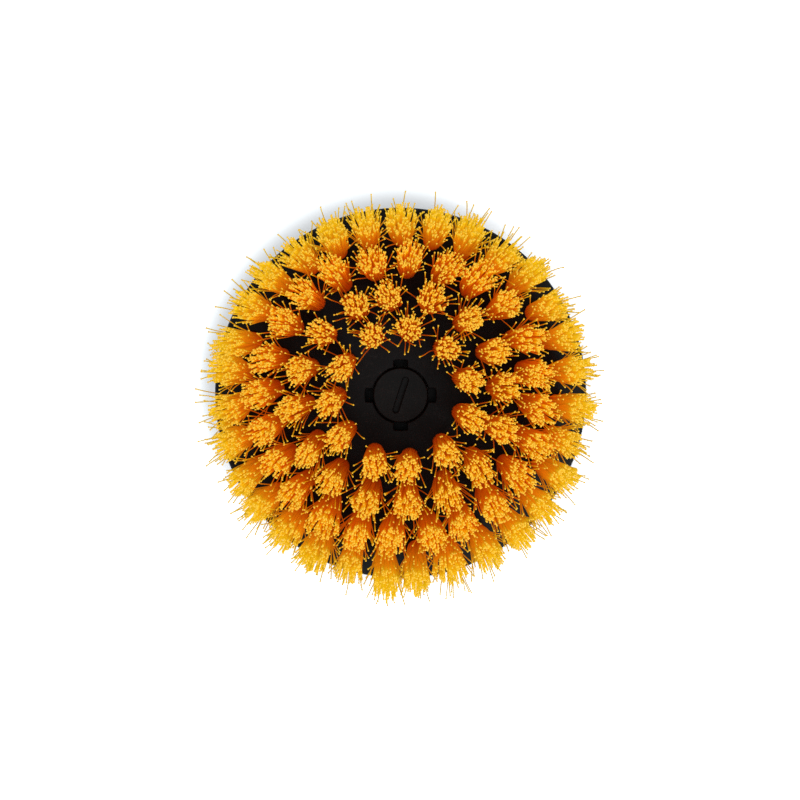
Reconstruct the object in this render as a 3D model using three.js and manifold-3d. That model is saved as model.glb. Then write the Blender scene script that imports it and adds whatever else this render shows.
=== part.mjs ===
// Rotary wheel brush for a drill: a round moulded block with rings of nylon tufts, driven by a hex arbor.
//
// Frame, in millimetres: the brush's axis is Z, the free end of the hex shank is at z = 0, and the tufts point
// to +Z. The block is held on the arbor by a washer and a lock nut in a pocket in its face, and a part-turn cap
// with a coin slot closes that pocket. Each tuft is folded round a flat wire anchor at the bottom of its hole.

import * as THREE from "three";
import { mergeVertices } from "three/addons/utils/BufferGeometryUtils.js";
import Module from "manifold-3d";

const wasm = await Module();
wasm.setup();

// ---------------------------------------------------------------- driving dimensions

const FIT_GAP = 0.2; // between pieces that touch on the real brush
const RUN_GAP = 0.4; // around a piece that turns
const REST_GAP = 0.05; // under a piece that is clamped down on another
const PRESS_GAP = 0.15; // around a piece that is pressed in
const OVERRUN = 1; // that a cut runs past a face, or a joined piece runs into its neighbour
const ARC_MIDDLE = 0.3; // how far a rounding's middle lies in from its corner, for a radius of 1
const CURVE_SEGMENTS = 8;
const TURNED_SIDES = 24; // of the small turned pieces

const BLOCK = {
  radius: 62.5, // a 125 mm brush
  thickness: 14,
  frontEdge: 1.2, // rounding of the face's edge
  rearBevel: 4.5,
  hubRadius: 17,
  hubHeight: 10, // of the hub behind the plate
  hubDraft: 1.5, // by which the hub narrows to its end
  hubEdge: 1,
  sides: 64,
};
const RIB = { count: 8, thickness: 3, reach: 57, tipHeight: 1.5, rootOverlap: 3, stepDown: 1.5 };
const RIB_RING = { radius: 38, width: 3, height: 4 };

const HEX_SHANK = {
  acrossFlats: 6.35,
  length: 32,
  grooveAt: 11,
  grooveWidth: 4,
  grooveSlope: 1,
  neckRadius: 2.5,
  nose: 0.8,
};
const ARBOR = {
  flangeRadius: 10,
  flangeThickness: 3,
  flangeEdge: 0.6,
  keyAcrossFlats: 12,
  keyHeight: 5.5,
  studRadius: 4,
  studNose: 0.8,
};

const WASHER = { radius: 8.2, thickness: 1.6 };
const NUT = { acrossFlats: 13, height: 6, edge: 0.5, collarHeight: 1.8, collarRadius: 6.2, insertRadius: 5.4 };
const STUD_PAST_NUT = 1.5;
const NUT_SEAT_DEPTH = 13; // of the nut pocket's floor below the block's face

const CAP = { radius: 9.2, topThickness: 2.9, sink: 0.2, wall: 1.3, edge: 0.4, sides: 36 };
const LUG = { count: 4, width: 4, reach: 11.5, height: 2.2, gapAbove: 0.3, gapBelow: 0.25 };
const WINDOW = { width: 4.6, reach: 11.9 }; // where a lug drops in through the lip
const WINDOW_MARGIN = 3; // degrees of track past each end of a lug's travel
const LIP_THICKNESS = 3.4;
const LOCK_TURN = 45; // degrees from the windows to the lugs' locked place
const COIN_SLOT = { length: 12.4, width: 1.8, depth: 1.6, angle: 72 };
const GASKET = { inner: 8.2, outer: 10.4, thickness: 0.9 };

// Each ring's pitch radius grows by one ring pitch, and its tufts lean outwards in step with that radius.
const RING_PITCH = 10.5;
const LEAN_PER_MM = 7.3 / 52.5; // degrees of lean for each millimetre of radius
const RINGS = [
  { count: 11, radius: 2 * RING_PITCH, firstAngle: 82 },
  { count: 16, radius: 3 * RING_PITCH, firstAngle: 95 },
  { count: 24, radius: 4 * RING_PITCH, firstAngle: 87 },
  { count: 31, radius: 5 * RING_PITCH, firstAngle: 90 },
];
const TUFT = { rootRadius: 2.75, tipRadius: 4.8, trim: 30, dome: 0.6, sides: 8 };
const HOLE = { radius: 3.05, depth: 10.5 };
const ANCHOR = { length: 5.6, height: 1.8, thickness: 0.45, aboveRoot: 1.2, gap: 0.3 };
const TIE = { width: 1.8, thickness: 0.5, lift: 0.3 }; // the thin web that joins the tufts of a crowded ring

// ---------------------------------------------------------------- heights worked out from them

const HUB_Z = HEX_SHANK.length + ARBOR.flangeThickness;
const PLATE_Z = HUB_Z + BLOCK.hubHeight;
const FACE_Z = PLATE_Z + BLOCK.thickness;
const NUT_SEAT_Z = FACE_Z - NUT_SEAT_DEPTH;
const KEY_TOP_Z = HUB_Z + ARBOR.keyHeight;
const NUT_Z = NUT_SEAT_Z + WASHER.thickness + 2 * REST_GAP;
const NUT_TOP_Z = NUT_Z + NUT.height;
const CAP_TOP_Z = FACE_Z - CAP.sink;
const LIP_Z = FACE_Z - LIP_THICKNESS;
const LUG_TOP_Z = LIP_Z - LUG.gapAbove;
const LUG_Z = LUG_TOP_Z - LUG.height;
const TRACK_Z = LUG_Z - LUG.gapBelow;
const SKIRT_Z = TRACK_Z + 2 * REST_GAP;
const GASKET_SEAT_Z = TRACK_Z - GASKET.thickness - PRESS_GAP;
const RECESS_RADIUS = WASHER.radius + RUN_GAP;
const TRACK_RADIUS = LUG.reach + RUN_GAP + LUG.gapAbove;
const LUG_HALF_ANGLE = THREE.MathUtils.radToDeg(Math.asin(LUG.width / 2 / LUG.reach));

// ---------------------------------------------------------------- materials

const material = (color, roughness, metalness) =>
  new THREE.MeshStandardMaterial({ color, roughness, metalness });
const MATERIALS = {
  blackPlastic: material(0x151517, 0.55, 0),
  steel: material(0xb4b6b8, 0.35, 1),
  zinc: material(0xc8c6be, 0.4, 1),
  blueNylon: material(0x2b4f8f, 0.5, 0),
  rubber: material(0x101010, 0.8, 0),
  yellowNylon: material(0xf0a010, 0.45, 0),
};

// ---------------------------------------------------------------- solids

/** A closed geometry as a manifold solid, moved by an optional matrix. */
function solid(geometry, matrix = new THREE.Matrix4()) {
  const moved = (geometry.index ? geometry.toNonIndexed() : geometry.clone()).applyMatrix4(matrix);
  moved.deleteAttribute("normal");
  moved.deleteAttribute("uv");
  const merged = mergeVertices(moved, 1e-4);
  const mesh = new wasm.Mesh({
    numProp: 3,
    vertProperties: merged.attributes.position.array,
    triVerts: new Uint32Array(merged.index.array),
  });
  return new wasm.Manifold(mesh);
}

/** A manifold solid as a geometry. */
function geometryOf(made) {
  const mesh = made.getMesh();
  const geometry = new THREE.BufferGeometry();
  geometry.setAttribute("position", new THREE.BufferAttribute(mesh.vertProperties, 3));
  geometry.setIndex(new THREE.BufferAttribute(mesh.triVerts, 1));
  geometry.computeVertexNormals();
  return geometry;
}

/** A profile of [radius, z] points, turned about Z. It starts and ends on the axis, or closes on itself. */
function turned(profile, sides) {
  const points = profile.map(([radius, z]) => new THREE.Vector2(radius, z));
  return new THREE.LatheGeometry(points, sides).rotateX(Math.PI / 2);
}

/** A ring of rectangular section. */
function ring(inner, outer, low, high, sides) {
  const section = [[inner, low], [outer, low], [outer, high], [inner, high], [inner, low]];
  return turned(section, sides);
}

/** A round bar. */
function bar(radius, low, high, sides) {
  return turned([[0, low], [radius, low], [radius, high], [0, high]], sides);
}

/** A hexagonal bar with a flat facing +X. */
function hexBar(acrossFlats, low, high) {
  const corner = acrossFlats / Math.sqrt(3);
  const prism = new THREE.CylinderGeometry(corner, corner, high - low, 6);
  return prism.rotateX(Math.PI / 2).translate(0, 0, (low + high) / 2);
}

/** A shape in the XY plane, raised from low to high. */
function raised(shape, low, high) {
  const options = { depth: high - low, bevelEnabled: false, curveSegments: CURVE_SEGMENTS };
  return new THREE.ExtrudeGeometry(shape, options).translate(0, 0, low);
}

/** A slice of a ring between two angles, in degrees. */
function ringSlice(inner, outer, from, to, low, high) {
  const start = THREE.MathUtils.degToRad(from);
  const end = THREE.MathUtils.degToRad(to);
  const shape = new THREE.Shape();
  shape.absarc(0, 0, outer, start, end, false);
  shape.absarc(0, 0, inner, end, start, true);
  shape.closePath();
  return raised(shape, low, high);
}

/** A bar of this width that runs from the axis to this reach, with a round end, along +X. */
function spoke(width, reach, low, high) {
  const shape = new THREE.Shape();
  const half = Math.asin(width / 2 / reach);
  shape.moveTo(0, -width / 2);
  shape.absarc(0, 0, reach, -half, half, false);
  shape.lineTo(0, width / 2);
  shape.closePath();
  return raised(shape, low, high);
}

const turnZ = (degrees) => new THREE.Matrix4().makeRotationZ(THREE.MathUtils.degToRad(degrees));

// ---------------------------------------------------------------- tufts

const leanOf = (radius) => THREE.MathUtils.degToRad(radius * LEAN_PER_MM);
const angleOf = (ringOfTufts, index) => ringOfTufts.firstAngle + (index * 360) / ringOfTufts.count;

/** Where a tuft stands: its mouth on the block's face, leaning outwards along its own +Z. */
function tuftPlace(ringOfTufts, index) {
  const atMouth = new THREE.Matrix4().makeTranslation(ringOfTufts.radius, 0, FACE_Z);
  const lean = new THREE.Matrix4().makeRotationY(leanOf(ringOfTufts.radius));
  return turnZ(angleOf(ringOfTufts, index)).multiply(atMouth).multiply(lean);
}

const TUFT_ROOT = -HOLE.depth + 2 * FIT_GAP;
const ANCHOR_MIDDLE = TUFT_ROOT + ANCHOR.aboveRoot + ANCHOR.height / 2;

/** One bundle of filaments as its outer shape: a plug in the hole that flares to the trimmed tip. */
function tuftGeometry() {
  return turned(
    [
      [0, TUFT_ROOT],
      [TUFT.rootRadius, TUFT_ROOT],
      [TUFT.rootRadius, 0],
      [TUFT.tipRadius, TUFT.trim],
      [0, TUFT.trim + TUFT.dome],
    ],
    TUFT.sides,
  );
}

/** A tuft with the eye of its fold open, where the anchor passes through. */
function foldedTuftGeometry() {
  const { thickness, height, gap } = ANCHOR;
  const eye = new THREE.BoxGeometry(thickness + 2 * gap, 3 * TUFT.rootRadius, height + 2 * gap);
  return geometryOf(solid(tuftGeometry()).subtract(solid(eye.translate(0, 0, ANCHOR_MIDDLE))));
}

/** The flat wire anchor that pins a folded tuft in its hole. */
function anchorGeometry() {
  const { length, height, thickness } = ANCHOR;
  return new THREE.BoxGeometry(thickness, length, height).translate(0, 0, ANCHOR_MIDDLE);
}

/** One piece for each tuft of a ring, each its own mesh in a pivot that turns it to its place. */
function aroundRing(ringOfTufts, name, geometry, finish) {
  const group = new THREE.Group();
  for (let index = 0; index < ringOfTufts.count; index += 1) {
    const piece = new THREE.Mesh(geometry, finish);
    piece.name = `${name}_${String(index + 1).padStart(2, "0")}`;
    piece.position.set(ringOfTufts.radius, 0, FACE_Z);
    piece.rotation.y = leanOf(ringOfTufts.radius);
    const pivot = new THREE.Group();
    pivot.rotation.z = THREE.MathUtils.degToRad(angleOf(ringOfTufts, index));
    pivot.add(piece);
    group.add(pivot);
  }
  return group;
}

/** A crowded ring's tufts as one solid: a thin web just above the block's face ties them at their mouths. */
function tiedTufts(ringOfTufts) {
  const low = FACE_Z + TIE.lift;
  const inner = ringOfTufts.radius - TIE.width / 2;
  let tied = solid(ring(inner, inner + TIE.width, low, low + TIE.thickness, ringOfTufts.count));
  const geometry = tuftGeometry();
  for (let index = 0; index < ringOfTufts.count; index += 1) {
    tied = tied.add(solid(geometry, tuftPlace(ringOfTufts, index)));
  }
  return geometryOf(tied);
}

// ---------------------------------------------------------------- the block

/** The block before it is drilled: a plate with a rounded rim and a drafted hub behind it. */
function blockBlank() {
  const { radius, frontEdge, rearBevel, hubRadius, hubDraft, hubEdge, sides } = BLOCK;
  const profile = [
    [0, HUB_Z],
    [hubRadius - hubDraft - hubEdge, HUB_Z],
    [hubRadius - hubDraft, HUB_Z + hubEdge],
    [hubRadius, PLATE_Z],
    [radius - rearBevel, PLATE_Z],
    [radius, PLATE_Z + rearBevel],
    [radius, FACE_Z - frontEdge],
    [radius - ARC_MIDDLE * frontEdge, FACE_Z - ARC_MIDDLE * frontEdge],
    [radius - frontEdge, FACE_Z],
    [0, FACE_Z],
  ];
  return solid(turned(profile, sides));
}

/** One rib behind the plate, tapering from the hub to its tip, along +X. */
function ribGeometry() {
  const { thickness, reach, tipHeight, rootOverlap, stepDown } = RIB;
  const shape = new THREE.Shape();
  const start = BLOCK.hubRadius - rootOverlap;
  shape.moveTo(start, PLATE_Z + OVERRUN);
  shape.lineTo(start, HUB_Z + stepDown);
  shape.lineTo(BLOCK.hubRadius, HUB_Z + stepDown);
  shape.lineTo(reach, PLATE_Z - tipHeight);
  shape.lineTo(reach + OVERRUN, PLATE_Z + OVERRUN);
  shape.closePath();
  const flat = new THREE.ExtrudeGeometry(shape, { depth: thickness, bevelEnabled: false });
  return flat.translate(0, 0, -thickness / 2).rotateX(Math.PI / 2);
}

/** Everything that the nut, the washer, the arbor and the cap need cut out of the block's middle. */
function middleCuts() {
  const { sides } = CAP;
  const cuts = [
    solid(hexBar(ARBOR.keyAcrossFlats + 2 * FIT_GAP, HUB_Z - OVERRUN, KEY_TOP_Z + FIT_GAP)),
    solid(bar(ARBOR.studRadius + FIT_GAP, HUB_Z, FACE_Z, sides)),
    solid(bar(RECESS_RADIUS, NUT_SEAT_Z, FACE_Z, sides)),
    solid(bar(GASKET.outer + FIT_GAP, GASKET_SEAT_Z, TRACK_Z + REST_GAP, sides)),
    solid(bar(CAP.radius + RUN_GAP, TRACK_Z, FACE_Z + OVERRUN, sides)),
  ];
  for (let index = 0; index < LUG.count; index += 1) {
    const window = (index * 360) / LUG.count;
    const from = window - LOCK_TURN - LUG_HALF_ANGLE - WINDOW_MARGIN;
    const to = window + LUG_HALF_ANGLE + WINDOW_MARGIN;
    cuts.push(solid(ringSlice(CAP.radius, TRACK_RADIUS, from, to, TRACK_Z, LIP_Z)));
    cuts.push(solid(spoke(WINDOW.width, WINDOW.reach, LUG_TOP_Z, FACE_Z + OVERRUN), turnZ(window)));
  }
  return cuts;
}

/** The holes that the tufts are set in. */
function tuftHoles() {
  const hole = bar(HOLE.radius, -HOLE.depth, 2 * OVERRUN, TUFT.sides);
  const holes = [];
  for (const ringOfTufts of RINGS) {
    for (let index = 0; index < ringOfTufts.count; index += 1) {
      holes.push(solid(hole, tuftPlace(ringOfTufts, index)));
    }
  }
  return holes;
}

function blockGeometry() {
  const { radius, width, height } = RIB_RING;
  const inner = radius - width / 2;
  const ribRing = ring(inner, inner + width, PLATE_Z - height, PLATE_Z + OVERRUN, BLOCK.sides);
  let block = blockBlank().add(solid(ribRing));
  for (let index = 0; index < RIB.count; index += 1) {
    block = block.add(solid(ribGeometry(), turnZ(((index + 0.5) * 360) / RIB.count)));
  }
  for (const cut of [...middleCuts(), ...tuftHoles()]) block = block.subtract(cut);
  return geometryOf(block);
}

// ---------------------------------------------------------------- the drive

/** The arbor: hex shank with its retaining groove, flange, drive key and stud. */
function arborGeometry() {
  const { acrossFlats, length, grooveAt, grooveWidth, grooveSlope, neckRadius, nose } = HEX_SHANK;
  const { flangeRadius, flangeEdge, keyAcrossFlats, studRadius, studNose } = ARBOR;
  const corner = acrossFlats / Math.sqrt(3);
  const outside = corner + OVERRUN;
  const grooveLow = grooveAt - grooveWidth / 2;
  const grooveHigh = grooveAt + grooveWidth / 2;
  const groove = [
    [neckRadius, grooveLow + grooveSlope],
    [outside, grooveLow],
    [outside, grooveHigh],
    [neckRadius, grooveHigh - grooveSlope],
    [neckRadius, grooveLow + grooveSlope],
  ];
  const noseCone = [
    [0, 0],
    [corner - nose, 0],
    [outside, nose + OVERRUN],
    [outside, length + OVERRUN],
    [0, length + OVERRUN],
  ];
  const shank = solid(hexBar(acrossFlats, 0, length + OVERRUN))
    .intersect(solid(turned(noseCone, TURNED_SIDES)))
    .subtract(solid(turned(groove, TURNED_SIDES)));
  const flange = [
    [0, length],
    [flangeRadius - flangeEdge, length],
    [flangeRadius, length + flangeEdge],
    [flangeRadius, HUB_Z - REST_GAP],
    [0, HUB_Z - REST_GAP],
  ];
  const studTop = NUT_TOP_Z + STUD_PAST_NUT;
  const stud = [
    [0, HUB_Z - OVERRUN],
    [studRadius, HUB_Z - OVERRUN],
    [studRadius, studTop - studNose],
    [studRadius - studNose, studTop],
    [0, studTop],
  ];
  const key = hexBar(keyAcrossFlats, HUB_Z - OVERRUN, KEY_TOP_Z - FIT_GAP);
  return geometryOf(
    shank
      .add(solid(turned(flange, TURNED_SIDES)))
      .add(solid(key))
      .add(solid(turned(stud, TURNED_SIDES))),
  );
}

function washerGeometry() {
  const low = NUT_SEAT_Z + REST_GAP;
  return ring(ARBOR.studRadius + FIT_GAP, WASHER.radius, low, low + WASHER.thickness, TURNED_SIDES);
}

/** The lock nut: a chamfered hexagon with a round collar that holds the nylon insert. */
function nutGeometry() {
  const { acrossFlats, height, edge, collarHeight, collarRadius, insertRadius } = NUT;
  const corner = acrossFlats / Math.sqrt(3) + REST_GAP;
  const hexTop = NUT_TOP_Z - collarHeight;
  const envelope = [
    [0, NUT_Z],
    [corner - 1.5 * edge, NUT_Z],
    [corner, NUT_Z + edge],
    [corner, hexTop - edge],
    [collarRadius, hexTop],
    [0, hexTop],
  ];
  const body = solid(hexBar(acrossFlats, NUT_Z, NUT_Z + height))
    .intersect(solid(turned(envelope, TURNED_SIDES)))
    .add(solid(bar(collarRadius, hexTop - OVERRUN, NUT_TOP_Z, TURNED_SIDES)));
  const bore = bar(ARBOR.studRadius + FIT_GAP, NUT_Z - OVERRUN, NUT_TOP_Z + OVERRUN, TURNED_SIDES);
  const insertSeat = bar(insertRadius + PRESS_GAP, hexTop, NUT_TOP_Z + OVERRUN, TURNED_SIDES);
  return geometryOf(body.subtract(solid(bore)).subtract(solid(insertSeat)));
}

function nutInsertGeometry() {
  const low = NUT_TOP_Z - NUT.collarHeight + PRESS_GAP;
  return ring(ARBOR.studRadius + PRESS_GAP, NUT.insertRadius, low, NUT_TOP_Z - FIT_GAP, TURNED_SIDES);
}

// ---------------------------------------------------------------- the cap and its gasket

/** The cap: a cup, open downwards over the nut, with four lugs on its skirt and a coin slot in its top. */
function capGeometry() {
  const { radius, topThickness, wall, edge, sides } = CAP;
  const ceilingZ = CAP_TOP_Z - topThickness;
  const cup = solid(
    turned(
      [
        [0, ceilingZ],
        [radius - wall, ceilingZ],
        [radius - wall, SKIRT_Z],
        [radius, SKIRT_Z],
        [radius, CAP_TOP_Z - edge],
        [radius - edge, CAP_TOP_Z],
        [0, CAP_TOP_Z],
      ],
      sides,
    ),
  );
  const { length, width, depth, angle } = COIN_SLOT;
  const half = length / 2 - width / 2;
  const slotShape = new THREE.Shape();
  slotShape.absarc(half, 0, width / 2, -Math.PI / 2, Math.PI / 2, false);
  slotShape.absarc(-half, 0, width / 2, Math.PI / 2, (3 * Math.PI) / 2, false);
  slotShape.closePath();
  const slot = solid(raised(slotShape, CAP_TOP_Z - depth, CAP_TOP_Z + OVERRUN), turnZ(angle));
  let cap = cup.subtract(slot);
  for (let index = 0; index < LUG.count; index += 1) {
    const middle = (index * 360) / LUG.count - LOCK_TURN;
    const [from, to] = [middle - LUG_HALF_ANGLE, middle + LUG_HALF_ANGLE];
    cap = cap.add(solid(ringSlice(radius - wall / 2, LUG.reach, from, to, LUG_Z, LUG_TOP_Z)));
  }
  return geometryOf(cap);
}

function gasketGeometry() {
  const low = GASKET_SEAT_Z + REST_GAP;
  return ring(GASKET.inner, GASKET.outer, low, low + GASKET.thickness, TURNED_SIDES);
}

// ---------------------------------------------------------------- the assembly

const brush = new THREE.Group();

function place(name, geometry, finish) {
  const mesh = new THREE.Mesh(geometry, finish);
  mesh.name = name;
  brush.add(mesh);
}

place("brush_block", blockGeometry(), MATERIALS.blackPlastic);
place("drive_arbor", arborGeometry(), MATERIALS.steel);
place("nut_washer", washerGeometry(), MATERIALS.zinc);
place("lock_nut", nutGeometry(), MATERIALS.zinc);
place("lock_nut_insert", nutInsertGeometry(), MATERIALS.blueNylon);
place("cap_gasket", gasketGeometry(), MATERIALS.rubber);
place("centre_cap", capGeometry(), MATERIALS.blackPlastic);
brush.add(aroundRing(RINGS[0], "tuft_anchor_ring1", anchorGeometry(), MATERIALS.zinc));
brush.add(aroundRing(RINGS[0], "tuft_ring1", foldedTuftGeometry(), MATERIALS.yellowNylon));
brush.add(aroundRing(RINGS[1], "tuft_ring2", foldedTuftGeometry(), MATERIALS.yellowNylon));
place("tufts_ring3", tiedTufts(RINGS[2]), MATERIALS.yellowNylon);
place("tufts_ring4", tiedTufts(RINGS[3]), MATERIALS.yellowNylon);

export default brush;
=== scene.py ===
"""Wheel brush: the finished look of a drill-driven detailing brush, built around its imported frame.

The file is laid out as an add-on and run as a script. One operator makes each piece or group of like pieces
from the sizes and colours in its property group, and the sidebar panel lists the operators.
"""

import functools
import math

import bmesh
import bpy
import numpy as np
from bpy.props import FloatProperty, FloatVectorProperty, IntProperty, PointerProperty
from mathutils import Matrix, Vector


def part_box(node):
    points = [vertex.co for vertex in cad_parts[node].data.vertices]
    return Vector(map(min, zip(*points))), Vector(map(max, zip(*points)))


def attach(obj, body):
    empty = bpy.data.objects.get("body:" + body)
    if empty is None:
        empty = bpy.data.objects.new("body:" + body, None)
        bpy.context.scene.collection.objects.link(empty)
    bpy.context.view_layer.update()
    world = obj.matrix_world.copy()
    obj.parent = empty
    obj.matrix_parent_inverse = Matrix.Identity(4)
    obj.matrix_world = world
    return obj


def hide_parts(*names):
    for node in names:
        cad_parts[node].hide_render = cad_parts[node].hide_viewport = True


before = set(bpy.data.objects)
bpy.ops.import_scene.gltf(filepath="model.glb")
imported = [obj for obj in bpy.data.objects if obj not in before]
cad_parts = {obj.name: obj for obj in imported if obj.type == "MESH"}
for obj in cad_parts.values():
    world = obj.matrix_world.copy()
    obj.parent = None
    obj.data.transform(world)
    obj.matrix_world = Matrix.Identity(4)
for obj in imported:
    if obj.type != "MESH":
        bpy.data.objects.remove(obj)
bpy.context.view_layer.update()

bl_info = {
    "name": "Wheel brush",
    "version": (1, 0, 0),
    "blender": (4, 5, 0),
    "location": "3D View > Sidebar > Wheel Brush",
    "description": "Builds a drill-driven wheel brush with rings of nylon tufts",
    "category": "Object",
}

MM = 0.001

# ---- sizes read from the frame

BLOCK_LOW, BLOCK_HIGH = (Vector(corner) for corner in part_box("brush_block"))
_, ARBOR_HIGH = (Vector(corner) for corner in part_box("drive_arbor"))
_, CAP_HIGH = (Vector(corner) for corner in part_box("centre_cap"))
FACE_Z = BLOCK_HIGH.z
HUB_Z = BLOCK_LOW.z
BLOCK_RADIUS = (BLOCK_HIGH.x - BLOCK_LOW.x) / 2
CAP_TOP_Z = CAP_HIGH.z
BRISTLE_REACH = BLOCK_RADIUS + 3 * MM  # as far from the axis as a filament's tip gets

# ---- the construction's own sizes

RING_PITCH = 10.5 * MM
RINGS = (
    # tufts, pitch radius in ring pitches, angle of the first tuft in degrees
    (11, 2, 82),
    (16, 3, 95),
    (24, 4, 87),
    (31, 5, 90),
)
LEAN_OF_OUTER_RING = math.radians(7.3)
HOLE_RADIUS = 3.05 * MM
HOLE_DEPTH = 10.5 * MM

PLATE_THICKNESS = 14 * MM
PLATE_Z = FACE_Z - PLATE_THICKNESS
REAR_BEVEL = 4.5 * MM
HUB_RADIUS = 17 * MM
HUB_DRAFT = 1.5 * MM
RIB_COUNT = 8
RIB_THICKNESS = 3 * MM
RIB_REACH = 57 * MM
RIB_TIP_HEIGHT = 1.5 * MM
RIB_OVERLAP = 3 * MM  # of a rib's root with the hub
RIB_STEP = 1.5 * MM  # from the hub's end down to a rib
RIB_RING_RADIUS = 38 * MM
RIB_RING_WIDTH = 3 * MM
RIB_RING_HEIGHT = 4 * MM

CAP_RADIUS = 9.2 * MM
CAP_CLEARANCE = 0.4 * MM
CAP_THICKNESS = 2.9 * MM
CAP_WALL = 1.3 * MM
LOCK_TURN = 45
LUG_COUNT = 4
LUG_WIDTH = 4 * MM
LUG_REACH = 11.5 * MM
LUG_HEIGHT = 2.2 * MM
WINDOW_WIDTH = 4.6 * MM
WINDOW_REACH = 11.9 * MM
LIP_THICKNESS = 3.4 * MM
LIP_Z = FACE_Z - LIP_THICKNESS
LUG_TOP_Z = LIP_Z - 0.3 * MM
LUG_Z = LUG_TOP_Z - LUG_HEIGHT
TRACK_Z = LUG_Z - 0.25 * MM
TRACK_REACH = LUG_REACH + 0.7 * MM
GASKET_SEAT_Z = TRACK_Z - 1.05 * MM
GASKET_SEAT_RADIUS = 10.6 * MM
NUT_SEAT_Z = FACE_Z - 13 * MM
NUT_RECESS_RADIUS = 8.6 * MM
STUD_RADIUS = 4 * MM
STUD_BORE_RADIUS = 4.2 * MM
KEY_FLATS = 12 * MM
KEY_CLEARANCE = 0.2 * MM
KEY_TOP_Z = HUB_Z + 5.5 * MM
COIN_SLOT_ANGLE = 72
SHANK_FLATS = 6.35 * MM
SHANK_LENGTH = 32 * MM
GROOVE_Z = 11 * MM
GROOVE_WIDTH = 4 * MM
GROOVE_NECK_RADIUS = 2.5 * MM
FLANGE_RADIUS = 10 * MM

FINE = 192  # sides of a large turned piece
ROUND = 96  # sides of a small one
MERGE = 1e-7  # metres between points that are the same point
OVERRUN = 1 * MM  # that a cut runs past a face, or a joined piece runs into its neighbour

# ---- how a tuft's filaments stand

FILAMENT_SIDES = 6
FILAMENT_STEPS = (0.0, 0.14, 0.28, 0.42, 0.56, 0.7, 0.82, 0.92, 0.985)  # shares of its height
SUNK = 3 * MM  # below the hole's mouth, where a filament begins
TUFT_RADIUS_SPREAD = 0.06
OUTLINE_LOBES = (2, 3, 5)
LOBE_SPREAD = 0.075
CLUMPS = 11  # smaller bunches that a tuft's filaments gather in
CLUMP_PULL = 0.22
ROOT_JITTER = 0.05 * MM
TIP_JITTER = 0.36 * MM
TUFT_DRIFT = 0.7 * MM  # of all of a tuft's tips together
HEIGHT_JITTER = 0.25 * MM
SHORT_SHARE = 0.07
SHORT_BY = (0.5 * MM, 3.5 * MM)
STRAY_LEAST = 0.8 * MM
STRAY_POWER = 1.6  # a higher one keeps more strays near their tuft
STRAY_START = 0.08  # share of its height where a stray leaves the tuft
STRAY_THICKNESS = 0.85
STRAY_DROP = 60e-3  # a stray's tip drops by the square of its reach over this
BOW = 0.16 * MM
WAVE = 0.05 * MM
# Rings past a filament's path form its swollen cut end: millimetres on, times as wide, and how pale, the
# paleness partly the cut nylon and partly a painted highlight.
END_RINGS = ((0.1, 1.0, 0.0), (0.22, 1.5, 0.7), (0.46, 1.72, 1.0), (0.64, 1.05, 1.0))
END_DOME = 0.03 * MM
# Painted light of daylight through the nylon: it begins beyond these radii and grows over these spans.
OUTWARDS_FROM, OUTWARDS_SPAN = 0.5 * BLOCK_RADIUS, 20 * MM
BEYOND_FROM, BEYOND_SPAN = 0.76 * BLOCK_RADIUS, 11 * MM

# ---- the stage's own sizes

KEY_PLACE, KEY_SIZE = (0.26, -0.29, FACE_Z + 0.46), 0.35
FILL_PLACE, FILL_SIZE = (-0.4, 0.35, FACE_Z + 0.3), 0.4
LENS = 50
AIM = (-0.2 * MM, -1.6 * MM, FACE_Z)
FLOOR_HALF_SIDE = 3.0
FLOOR_DROP = 0.5 * MM
# The floor's painted shadow: its emission lift is weaker near the brush, so the floor is darker in a soft disc
# round it, centred a little off the axis.
SHADE_CENTRE = (0, 4 * MM, 0)  # added to a place on the floor before its distance is measured
SHADE_EDGE = (0.072, 0.086)  # the floor lifts to white between these distances
FLOOR_LIFT = (0.3, 1.15)


# ---- property groups


def length(name, millimetres, description):
    return FloatProperty(name=name, description=description, default=millimetres * MM, unit="LENGTH")


def power(name, default, description):
    return FloatProperty(name=name, description=description, default=default, unit="POWER")


def colour(name, default, description):
    return FloatVectorProperty(
        name=name, description=description, default=default, subtype="COLOR", size=3, min=0, max=1
    )


class WheelBrushBlockSettings(bpy.types.PropertyGroup):
    """Sizes and finish of the moulded block."""

    rim_rounding: length("Rim rounding", 1.2, "Radius of the rounded edge round the face")
    mouth_rounding: length("Hole mouth", 0.35, "Width of the eased edge round each tuft's hole")
    edge_rounding: length("Edge rounding", 0.6, "Radius of the edges of the ribs and the hub")
    plastic_colour: colour("Plastic", (0.0021, 0.0027, 0.0033), "Colour of the moulded plastic")


class WheelBrushCapSettings(bpy.types.PropertyGroup):
    """Sizes and finish of the centre cap."""

    slot_length: length("Slot length", 12.4, "Length of the coin slot")
    slot_width: length("Slot width", 1.8, "Width of the coin slot")
    slot_depth: length("Slot depth", 1.6, "Depth of the coin slot")
    plastic_colour: colour("Plastic", (0.0034, 0.0035, 0.0037), "Colour of the cap's plastic")


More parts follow.
